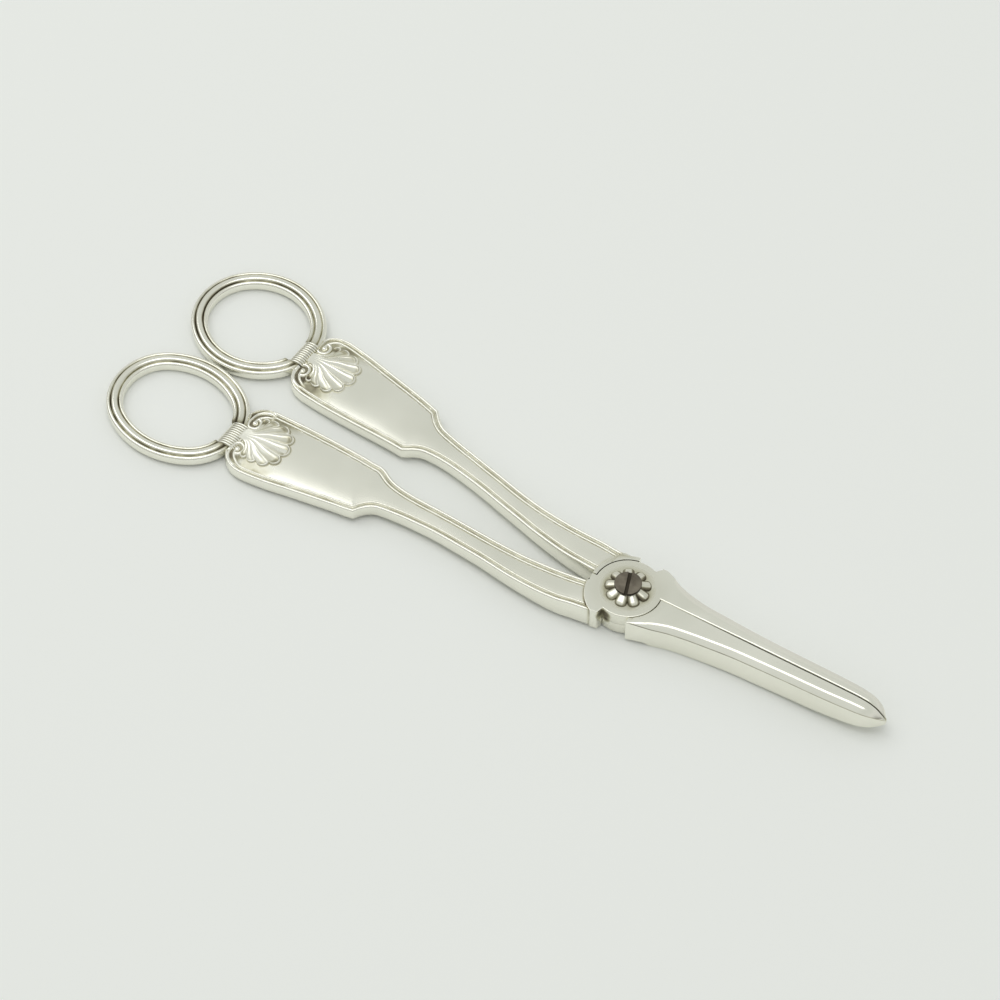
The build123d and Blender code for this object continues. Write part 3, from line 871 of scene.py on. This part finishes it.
def make_shell(half, up):
    """Scallop with hollow flutes, raised ridges and a lipped rim, on one face of a handle."""
    rim, across = shell_rim(lobe_columns)
    columns = len(rim)
    rows = 110
    last_lobe = 2 * len(shell_swell_shares) - 2
    lobe = np.minimum(np.arange(columns) // lobe_columns, last_lobe)
    reach = np.hypot(*rim.T)[None]
    angle = (np.degrees(np.arctan2(rim[:, 1], rim[:, 0])) / fan_bend(reach[0]))[None]
    q = np.linspace(0, 1, rows)[:, None] ** 0.8 * np.ones(columns)[None]
    across = np.abs(across)[None]
    radius = q * reach
    left = reach - radius
    x, y = fan_out(half, angle, radius, q)
    flute = 0.5 + 0.5 * np.cos(math.pi * across ** 1.7)
    scoop = 0.4 * smooth(0.2, 0.75, q) * smooth(0.05, 0.8, left)
    crease = bell(1 - across, 0.1) * smooth(0.3, 0.6, q) * smooth(0.1, 0.6, left)
    height = shell_relief * (0.55 + 0.45 * smooth(0.0, 0.5, q)) - scoop * flute - 0.06 * crease
    height += 0.08 * bell(left - 0.38, 0.16) * flute
    height = height * (1 - 0.92 * quarter_round((shell_lip_round - left) / shell_lip_round))
    outermost = np.isin(lobe, (0, last_lobe))[None]
    side_left = np.where(outermost, (1 - across) * 0.5 * np.maximum(radius, 0.3) * 0.2, 1)
    side_fall = smooth(0.12, 0.0, side_left) * (np.abs(angle) > 68) * smooth(0.3, 1.2, radius)
    height = height * (1 - 0.85 * side_fall)
    pit = bell(left - 0.95, 0.4) * bell(across, 0.6)
    height -= 0.16 * pit * outermost
    ground = handle_thickness / 2 - field_relief - shell_sink
    # The flute bowls and creases darken with tarnish and painted shade; the pits of the outermost lobes, the
    # foot of the lip and the steep sides get painted shade.
    bowl = flute * smooth(0.5, 0.85, q) * smooth(0.15, 0.7, left)
    tarnish = 0.2 * bowl + 0.34 * pit + 0.3 * crease + 0.4 * smooth(0.06, 0.0, left)
    tarnish = np.clip(tarnish + 0.5 * pit * outermost + 0.5 * side_fall, 0, 1)
    top = middle + up * (ground + height)
    bottom = middle + up * (ground - shell_foot)
    name = f"{half.name}_{'upper' if up > 0 else 'lower'}_shell_silver"
    return add_skin(name, np.stack([x, y], -1), top, bottom, tarnish)


# Bows and bindings


def bow_ring(half):
    """Radii and centre shifts of the four tangent arcs of a bow, and the angle where they meet."""
    long_half = half.bow_half_length
    breadth = half.bow_half_breadth
    end_radius = bow_end_radius_share * breadth
    side_radius = (long_half ** 2 + breadth ** 2 - 2 * long_half * end_radius) / (2 * (breadth - end_radius))
    end_shift = long_half - end_radius
    side_shift = side_radius - breadth
    return end_radius, side_radius, end_shift, side_shift, math.atan2(side_shift, end_shift)


def bow_point(half, angle, out):
    """Points at an angle on the oval of a bow, moved outwards."""
    end_radius, side_radius, end_shift, side_shift, joint = bow_ring(half)
    angle = (angle + joint) % (2 * math.pi) - joint
    at_end = angle <= joint
    at_top = (angle > joint) & (angle <= math.pi - joint)
    at_far = (angle > math.pi - joint) & (angle <= math.pi + joint)
    shift_x = np.where(at_end, end_shift, np.where(at_far, -end_shift, 0))
    shift_y = np.where(at_end | at_far, 0, np.where(at_top, -side_shift, side_shift))
    radius = np.where(at_end | at_far, end_radius, side_radius)
    x = half.bow_x + shift_x + (radius + out) * np.cos(angle)
    y = half.bow_y + shift_y + (radius + out) * np.sin(angle)
    return x, y


def band_section():
    """Closed section of a bow: distance outwards and height, and its tarnish."""
    side_centre = band_half_width - side_reed_radius
    steps = 12
    side_end = math.pi - math.acos((side_centre - reed_groove) / side_reed_radius)
    side = []
    for angle in np.linspace(0, side_end, steps):
        out = side_centre + side_reed_radius * math.cos(angle)
        side.append((out, side_reed_height + side_reed_radius * math.sin(angle)))
    crown = []
    for share in np.linspace(1, -1, 23)[1:-1]:
        crown.append((reed_groove * share, band_half_height - reed_fall * abs(share) ** 3.2))
    upper = np.array(side + crown + [(-out, z) for out, z in reversed(side)])
    section = np.concatenate([upper, upper[::-1] * np.array([1, -1])])
    near_groove = np.abs(np.abs(section[:, 0]) - reed_groove)
    tarnish = bell(near_groove, 0.25) * (np.abs(section[:, 1]) > 0.7)
    return section, tarnish


def make_bow(half):
    """Finger bow of three reeds, open where the binding holds its two ends."""
    section, groove = band_section()
    end_radius = bow_ring(half)[0]
    half_length = binding_length / 2 - 0.1
    rows = 320
    points = []
    for r, z in section:
        first = math.asin((half.binding_y + half_length - half.bow_y) / (end_radius + r))
        last = math.asin((half.binding_y - half_length - half.bow_y) / (end_radius + r)) + 2 * math.pi
        x, y = bow_point(half, np.linspace(first, last, rows), r)
        points.append(np.stack([x, y, np.full_like(x, middle + z)], -1))
    to_binding = np.minimum(np.arange(rows), np.arange(rows)[::-1]) / 14
    turn = np.linspace(0, 2 * math.pi, rows)
    depth = 0.72 + 0.3 * np.cos(turn - 3.5) + 0.12 * np.sin(5 * turn) + 0.35 * np.exp(-to_binding)
    # The grooves are darker on one side of the ring and towards the ends; the dark at the ends, where they
    # run into the binding, is painted shade.
    tarnish = np.clip(depth[:, None] * groove[None] + 0.75 * np.exp(-(to_binding[:, None] * 3)), 0, 1)
    return add_tube(f"{half.name}_bow_silver", np.stack(points, 1), tarnish)


def make_binding(half):
    """Collar of rounded ribs, like a wire wound round the root of the bow."""
    pitch = binding_length / binding_ribs
    places = np.linspace(0, binding_length, binding_ribs * 14 + 1)
    phase = (places / pitch) % 1
    rib = np.sqrt(np.clip(1 - (2 * phase - 1) ** 2, 0, 1))
    radius = binding_core_radius + rib * pitch / 2
    radius[0] = radius[-1] = 0.4
    broad = half.binding_breadth_share
    count = 72
    angle = np.linspace(0, 2 * math.pi, count, endpoint=False)
    grid = np.zeros((len(places), count, 3))
    centre_x = half.binding_x + (broad - 1) * binding_core_radius
    grid[..., 0] = centre_x + broad * radius[:, None] * np.cos(angle)
    grid[..., 1] = half.binding_y - binding_length / 2 + places[:, None] + binding_slant * np.cos(angle)
    grid[..., 2] = middle + radius[:, None] * np.sin(angle)
    tarnish = np.repeat(np.clip(1.15 - 1.35 * rib, 0, 1), count)
    return add_tube(f"{half.name}_binding_silver", grid, tarnish)


# Jaws


def filleted(points, radii, steps):
    """Closed section with each corner rounded by the same number of points."""
    points = np.array(points)
    rounded = []
    for i, here in enumerate(points):
        before = points[i - 1] - here
        after = points[(i + 1) % len(points)] - here
        before_length = np.hypot(*before)
        after_length = np.hypot(*after)
        reach = min(radii[i], 0.45 * before_length, 0.45 * after_length)
        start = here + before / before_length * reach
        end = here + after / after_length * reach
        for t in np.linspace(0, 1, steps):
            rounded.append((1 - t) ** 2 * start + 2 * t * (1 - t) * here + t * t * end)
    return np.array(rounded)


def seam_opening(place):
    """Half of the gap between the blades, which opens towards the nose."""
    return seam_half_gap + seam_half_widening * smooth(0.08, 0.55, place)


def jaw_section(half, place, seam_v, seam_round):
    """Rounded section of a blade at one place along the seam."""
    knots = jaw_shares[:, 0]
    row = [eased(knots, jaw_shares[:, column], np.array([place]))[0] for column in range(1, 6)]
    outer_v = -half.side * row[half.jaw_column - 1] * jaw_breadth
    inwards = math.copysign(1, seam_v - outer_v)
    roof = full_height - row[3] * nose_drop
    keel = -row[4] * keel_drop
    facet = min(row[2] * facet_width, abs(outer_v - seam_v) / 2)
    drop = min(row[2] * half.facet_drop, (roof - keel) / 3)
    points = [
        (seam_v, roof),
        (outer_v + inwards * facet, roof),
        (outer_v, roof - drop),
        (outer_v, keel),
        (seam_v, keel),
    ]
    return filleted(points, (seam_round, *corner_rounds), corner_steps)


def make_blade(half, name, seam_shift, seam_round):
    """Blade swept along the seam, from the heel to the rounded nose."""
    ends = (jaw_shares[0, 0], 0.3, 0.92, 1.0)
    places = np.concatenate([
        np.linspace(ends[0], ends[1], 60, endpoint=False),
        np.linspace(ends[1], ends[2], 70, endpoint=False),
        np.linspace(ends[2], ends[3], 50),
    ])
    along, across = axes(seam_skew_deg)
    loops = []
    for place in places:
        shift = -half.side * seam_opening(place) if seam_shift is None else seam_shift
        section = jaw_section(half, place, seam_offset + shift, seam_round)
        plan = along * place * jaw_reach + section[:, :1] * across
        loops.append(np.column_stack([plan, section[:, 1]]))
    tarnish = np.zeros((len(loops), len(loops[0])))
    # Painted dark reflection along the lower edge of the facet.
    lower_edge = 2 * corner_steps + corner_steps // 2
    tarnish[:, lower_edge - 1 : lower_edge + 2] = half.facet_dark_reflection
    return add_tube(name, loops, tarnish)


def ledge_zone(extra, low, high):
    """Strip beside the seam where one blade passes over the other."""
    along, across = axes(seam_skew_deg)
    near = seam_offset - seam_gap
    far = seam_offset + ledge_width + extra
    reach = ledge_share * jaw_reach + extra
    corners = [along * u + across * v for u, v in ((0, near), (reach, near), (reach, far), (0, far))]
    return make_prism("zone", np.array(corners), low, high)


def thinned(points, spacing):
    """Points of a path at an even spacing, with its corners kept."""
    steps = np.hypot(*np.diff(points, axis=0).T)
    heading = np.unwrap(np.arctan2(*np.diff(points, axis=0).T[::-1]))
    along = np.concatenate([[0], np.cumsum(steps)])
    bends = np.abs(np.diff(heading)) > math.radians(25)
    corners = [0] + [i + 1 for i in np.nonzero(bends)[0]] + [len(points) - 1]
    kept = [points[0]]
    for a, b in zip(corners, corners[1:]):
        length = along[b] - along[a]
        if length < 0.1:
            continue
        count = max(int(length / spacing), 1)
        places = along[a] + length * np.arange(1, count + 1) / count
        kept += list(np.column_stack([np.interp(places, along, points[:, k]) for k in (0, 1)]))
    return np.array(kept)


def block_corner(half, angle_deg, lower, upper):
    """Outermost point of a pivot block in one direction from the pivot."""
    ray = axes(angle_deg)[0]
    radius = np.linspace(ring_radius, block_outer_radius, 1200)
    points = radius[:, None] * ray
    low = np.interp(-points[:, 0], -lower[:, 0], lower[:, 1])
    high = np.interp(-points[:, 0], -upper[:, 0], upper[:, 1])
    seated = np.hypot(*(points - half.seat_centre).T) < half.seat_radius
    inside = (points[:, 1] > low) & (points[:, 1] < high) & seated
    return ray * (radius[inside].max() if inside.any() else ring_radius)


def make_block(half, start_deg, end_deg):
    """Pivot block from its inner arc to its outer side, which ends at the handle's seat."""
    lower, upper = handle_edges(half, np.linspace(root_share, 0.2, 200))
    directions = np.linspace(end_deg, start_deg, 900)
    outer = [block_corner(half, angle_deg, lower, upper) for angle_deg in directions]
    inner = arc((0, 0), block_inner_radius, start_deg, end_deg, 40)
    outline = np.concatenate([inner, thinned(np.array(outer), 0.3)])
    return make_plate("block", outline, 0, full_height, block_round, block_round)


def make_front_jaw():
    """Upper lap, pivot block and the jaw with the cutting lip, in one piece."""
    floor = middle + lap_gap / 2
    jaw = make_blade(front, "front_jaw_silver", None, lip_round)
    block = make_block(front, abutment_deg + abutment_half_gap_deg, front_block_end_deg)
    strip = ledge_zone(seam_gap, -overrun, floor)
    for piece, others in ((jaw, [strip]), (block, [])):
        clearance = make_prism("clearance", circle(clear_radius, 200), -overrun, floor)
        combine(piece, [clearance, *others], "DIFFERENCE")
    lap = make_plate("lap", circle(lap_radius, 240), floor, full_height, touching_round, edge_round)
    web = make_plate("web", heel_web, floor, full_height, web_round, block_round)
    combine(jaw, [block, lap, web], "UNION")
    return blend_normals(jaw)


def make_rear_jaw():
    """Lower lap, pivot block and the jaw with the ledge under the lip, in one piece."""
    roof = middle - lap_gap / 2
    jaw = make_blade(rear, "rear_jaw_silver", None, cutting_edge_round)
    block = make_block(rear, rear_block_start_deg, abutment_deg - abutment_half_gap_deg)
    ledge = make_blade(front, "ledge", -seam_gap, cutting_edge_round)
    combine(ledge, [ledge_zone(0, -overrun, roof)], "INTERSECT")
    shadow = 0.9
    profile = [
        (clear_radius, roof),
        (clear_radius, full_height - bevel_drop - 0.02),
        (clear_radius + 0.004, full_height - bevel_drop),
        (clear_radius + bevel_width, full_height),
        (clear_radius + bevel_width, overrun),
    ]
    for piece in (jaw, block):
        combine(piece, [lathe("clearance", profile, 240, [shadow, shadow, 0, 0, 0])], "DIFFERENCE")
    lap = make_plate("lap", circle(lap_radius, 240), 0, roof, lower_edge_round, touching_round)
    combine(jaw, [block, lap, ledge], "UNION")
    return blend_normals(jaw)


# Rosette and screw


def petal_height(along, across):
    """Height of a half-round petal over the lap, lower outwards and rounded at its end."""
    ridge = rosette_height - petal_fall * np.maximum(along - 2.0, 0)
    end = np.maximum(along - petal_end_start, 0) / (rosette_radius - petal_end_start)
    return ridge * np.sqrt(np.maximum(1 - (across / petal_half_width) ** 2 - end ** 2, 0))


def petal_rim(local):
    """Distance from the pivot to the outline of the petals, by the angle from a petal's axis."""
    radius = np.linspace(1.8, rosette_radius, 400)[:, None]
    inside = petal_height(radius * np.cos(local), radius * np.sin(local)) > 0.02
    return np.where(inside, radius, 0).max(0)


def make_rosette():
    """Washer of half-round petals under the screw's head."""
    rows = 60
    columns = rosette_petals * 44
    angle = np.linspace(0, 2 * math.pi, columns, endpoint=False)
    half_pitch = math.pi / rosette_petals
    local = (angle + half_pitch) % (2 * half_pitch) - half_pitch
    out = np.sin(np.linspace(0, 1, rows) * math.pi / 2)
    radius = rosette_inner_radius + (petal_rim(local) - rosette_inner_radius)[None] * out[:, None]
    across = radius * np.sin(local)
    height = petal_height(radius * np.cos(local), across)
    height = np.maximum(height, 0.04) * smooth(1.0, 0.985, out)[:, None]
    angle = angle + math.radians(rosette_turn_deg)
    plan = np.stack([radius * np.cos(angle), radius * np.sin(angle)], -1)
    off_axis = across / petal_half_width
    # Tarnish on the petals' flanks and in the valleys between them, and painted shade at their foot where
    # they meet the lap.
    tarnish = 0.9 * smooth(0.4, 0.82, np.abs(off_axis)) + smooth(0.45, 0.1, height)
    tarnish = np.clip(tarnish + 0.12 + 0.12 * np.sin(9 * off_axis) ** 2, 0, 1)
    top = rosette_floor + height
    return add_skin("pivot_rosette_silver", plan, top, rosette_floor - 0.001, tarnish, closed_columns=True)


def make_screw():
    """Cheese-headed pivot screw with a slightly domed top and a slot."""
    profile = [
        (screw_radius, 0.0),
        (screw_radius, head_floor),
        (screw_head_radius - screw_head_chamfer, head_floor),
        (screw_head_radius, head_floor + screw_head_chamfer),
    ]
    corner_z = head_top - screw_head_round - screw_head_dome
    for t in np.linspace(0, math.pi / 2, 6):
        radius = screw_head_radius - screw_head_round * (1 - math.cos(t))
        profile.append((radius, corner_z + screw_head_round * math.sin(t)))
    for radius in np.linspace(screw_head_radius - 0.3, 0.15, 14):
        profile.append((radius, head_top - screw_head_dome * (radius / screw_head_radius) ** 2))
    screw = lathe("pivot_screw_steel", profile, 120)
    along, across = axes(screw_slot_deg)
    along = along * overrun
    across = across * screw_slot_width / 2
    corners = np.array([along + across, across - along, -along - across, along - across])
    slot = make_prism("slot", corners, head_top - screw_slot_depth, head_top + overrun)
    return combine(screw, [slot], "DIFFERENCE")


for half in (front, rear):
    name = half.name
    dress(make_handle(half), "handle", name, "handle_silver", f"{name}_handle")
    dress(make_shell(half, 1), "shell", name, "shell_silver", f"{name}_upper_shell")
    dress(make_shell(half, -1), "shell", name, "shell_silver", f"{name}_lower_shell")
    dress(make_bow(half), "bow", name, "bow_silver", f"{name}_bow")
    dress(make_binding(half), "binding", name, "binding_silver", f"{name}_binding")

dress(make_front_jaw(), "jaw", "front", "jaw_silver", "front_jaw")
dress(make_rear_jaw(), "jaw", "rear", "jaw_silver", "rear_jaw")
dress(make_rosette(), "rosette", "rear", "rosette_silver", "pivot_rosette")
dress(make_screw(), "screw", "rear", "screw_steel", "pivot_screw")


# Floor, light and camera

# The shears lie on the keels and on the undersides of the bows, so the ground leans a little.
keel_contact = (8.0, -keel_drop)
bow_contact = (-102.0, middle - band_half_height)
ground_slope = (bow_contact[1] - keel_contact[1]) / (bow_contact[0] - keel_contact[0])
ground_gap = 0.02
ground_half_size = 6000

# Camera of the photograph, with its focal length as a share of the sensor's width
camera_azimuth_deg = 34.79
camera_elevation_deg = 53.46
camera_roll_deg = 0.12
camera_distance = 888.2
camera_target = (-34.43, 5.08, middle)
sensor_width = 36
focal_share = 4.4

# Tone of the studio surround by height, from the horizon to overhead
surround_tones = (
    (0.0, (0.45, 0.45, 0.43)),
    (0.02, (0.17, 0.165, 0.15)),
    (0.14, (0.24, 0.235, 0.22)),
    (0.32, (0.64, 0.645, 0.625)),
    (0.52, (0.69, 0.70, 0.68)),
    (0.72, (0.61, 0.63, 0.60)),
    (0.86, (0.60, 0.618, 0.59)),
    (1.0, (0.70, 0.71, 0.70)),
)


def make_floor():
    """Plain pale ground that the shears rest on."""
    points = []
    for side_x, side_y in ((-1, -1), (1, -1), (1, 1), (-1, 1)):
        x = side_x * ground_half_size
        z = keel_contact[1] - ground_gap + ground_slope * (x - keel_contact[0])
        points.append((x, side_y * ground_half_size, z))
    floor = add_mesh("ground", points, [(0, 1, 2, 3)])
    material, _, shader = new_material("pale ground")
    shader.inputs["Base Color"].default_value = (*floor_tone, 1)
    shader.inputs["Roughness"].default_value = 0.85
    floor.data.materials.append(material)


def make_world():
    """Soft studio surround, white overhead, with a pale sheet ahead and dim near the horizon."""
    world = bpy.data.worlds.new("studio")
    bpy.context.scene.world = world
    world.use_nodes = True
    tree = world.node_tree
    separate = tree.nodes.new("ShaderNodeSeparateXYZ")
    tree.links.new(tree.nodes.new("ShaderNodeTexCoord").outputs["Generated"], separate.inputs[0])
    height = separate.outputs["Z"]
    ramp = tree.nodes.new("ShaderNodeValToRGB")
    elements = ramp.color_ramp.elements
    elements[0].color = (*surround_tones[0][1], 1)
    elements[1].color = (*surround_tones[-1][1], 1)
    for position, colour in surround_tones[1:-1]:
        elements.new(position).color = (*colour, 1)
    tree.links.new(height, ramp.inputs["Fac"])
    ahead = ranged(tree, separate.outputs["Y"], 0.15, 0.6, 0, 0.9)
    sheet = maths(tree, "MULTIPLY", ahead, ranged(tree, height, 0.25, 0.4, 1, 0))
    background = tree.nodes["Background"]
    feed(tree, mixed(tree, sheet, ramp.outputs["Color"], (0.66, 0.67, 0.65)), background.inputs["Color"])
    background.inputs["Strength"].default_value = 1.0


def backwards(azimuth_deg, elevation_deg):
    """Direction towards a camera or a lamp, by its azimuth and its elevation."""
    azimuth = math.radians(azimuth_deg)
    elevation = math.radians(elevation_deg)
    flat = math.cos(elevation)
    return Vector((math.sin(azimuth) * flat, -math.cos(azimuth) * flat, math.sin(elevation)))


def add_lamp(name, azimuth_deg, elevation_deg, distance, size, power):
    """Soft box aimed at the pivot, with its long side across the shears."""
    data = bpy.data.lights.new(name, "AREA")
    data.shape = "RECTANGLE"
    data.size, data.size_y = size
    data.energy = power
    lamp = bpy.data.objects.new(name, data)
    back = backwards(azimuth_deg, elevation_deg)
    lamp.location = back * distance
    lamp.rotation_euler = back.to_track_quat("Z", "Y").to_euler()
    bpy.context.scene.collection.objects.link(lamp)


def make_camera():
    """Camera of the photograph: its angle, its distance and its long lens."""
    roll = math.radians(camera_roll_deg)
    target = Vector(camera_target) * MM
    back = backwards(camera_azimuth_deg, camera_elevation_deg)
    level = Vector((*axes(camera_azimuth_deg)[0], 0))
    upright = back.cross(level)
    right = level * math.cos(roll) + upright * math.sin(roll)
    up = upright * math.cos(roll) - level * math.sin(roll)
    data = bpy.data.cameras.new("camera")
    data.sensor_width = sensor_width
    data.lens = sensor_width * focal_share
    data.clip_start = 0.01
    data.clip_end = 50
    camera = bpy.data.objects.new("camera", data)
    turn = Matrix((right, up, back)).transposed().to_4x4()
    camera.matrix_world = Matrix.Translation(target + back * camera_distance * MM) @ turn
    bpy.context.scene.collection.objects.link(camera)
    bpy.context.scene.camera = camera


make_floor()
make_world()
add_lamp("overhead", 266, 72, 1.2, (0.6, 1.5), 3.75)
make_camera()
bpy.context.scene.view_settings.view_transform = "Standard"
